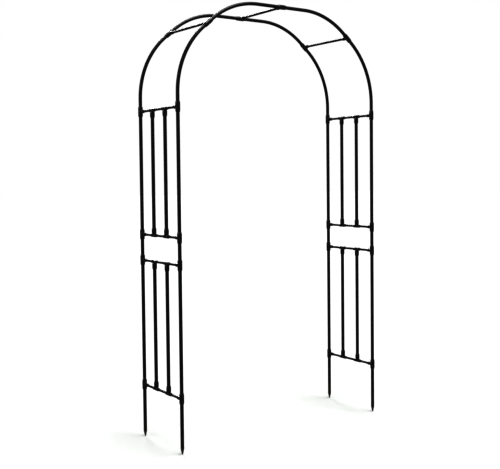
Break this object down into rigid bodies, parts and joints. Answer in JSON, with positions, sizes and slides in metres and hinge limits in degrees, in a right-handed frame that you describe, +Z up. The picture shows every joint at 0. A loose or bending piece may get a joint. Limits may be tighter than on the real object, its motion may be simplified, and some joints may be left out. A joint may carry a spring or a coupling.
{
  "type": "trellis arch",
  "caption": "Garden trellis arch of plug-together bent steel tubes and moulded connectors, with upright-rod side panels and ground stakes.",
  "frame": {"origin": "midway between the stakes, level with the ends of the stake points", "axes": "+X across the passage, left to right seen from the front; +Y along the passage, from the front arch to the rear arch; +Z up"},
  "size_m": [1.3804, 0.4304, 2.4],
  "materials": {
    "coated_tube": "satin black powder coat on steel tube",
    "moulded_connector": "semi-gloss black moulded plastic",
    "stake_point": "matt black moulded plastic, scuffed at the point"
  },
  "bodies": {
    "root": {"crown_crossbar": "coated_tube", "front_crown_connector": "moulded_connector", "front_left_crown_tube": "coated_tube", "front_left_lower_tube": "coated_tube", "front_left_middle_tube": "coated_tube", "front_left_post_connectors": "moulded_connector", "front_left_shoulder_connector": "moulded_connector", "front_left_shoulder_tube": "coated_tube", "front_left_stake_tube": "coated_tube", "front_left_upper_tube": "coated_tube", "front_right_crown_tube": "coated_tube", "front_right_lower_tube": "coated_tube", "front_right_middle_tube": "coated_tube", "front_right_post_connectors": "moulded_connector", "front_right_shoulder_connector": "moulded_connector", "front_right_shoulder_tube": "coated_tube", "front_right_stake_tube": "coated_tube", "front_right_upper_tube": "coated_tube", "front_stake_points": "stake_point", "left_bottom_crossbar": "coated_tube", "left_lower_front_rod": "coated_tube", "left_lower_middle_crossbar": "coated_tube", "left_lower_rear_rod": "coated_tube", "left_lower_rod_connectors": "moulded_connector", "left_shoulder_crossbar": "coated_tube", "left_top_crossbar": "coated_tube", "left_upper_front_rod": "coated_tube", "left_upper_middle_crossbar": "coated_tube", "left_upper_rear_rod": "coated_tube", "left_upper_rod_connectors": "moulded_connector", "rear_crown_connector": "moulded_connector", "rear_left_crown_tube": "coated_tube", "rear_left_lower_tube": "coated_tube", "rear_left_middle_tube": "coated_tube", "rear_left_post_connectors": "moulded_connector", "rear_left_shoulder_connector": "moulded_connector", "rear_left_shoulder_tube": "coated_tube", "rear_left_stake_tube": "coated_tube", "rear_left_upper_tube": "coated_tube", "rear_right_crown_tube": "coated_tube", "rear_right_lower_tube": "coated_tube", "rear_right_middle_tube": "coated_tube", "rear_right_post_connectors": "moulded_connector", "rear_right_shoulder_connector": "moulded_connector", "rear_right_shoulder_tube": "coated_tube", "rear_right_stake_tube": "coated_tube", "rear_right_upper_tube": "coated_tube", "rear_stake_points": "stake_point", "right_bottom_crossbar": "coated_tube", "right_lower_front_rod": "coated_tube", "right_lower_middle_crossbar": "coated_tube", "right_lower_rear_rod": "coated_tube", "right_lower_rod_connectors": "moulded_connector", "right_shoulder_crossbar": "coated_tube", "right_top_crossbar": "coated_tube", "right_upper_front_rod": "coated_tube", "right_upper_middle_crossbar": "coated_tube", "right_upper_rear_rod": "coated_tube", "right_upper_rod_connectors": "moulded_connector"}
  },
  "joints": []
}
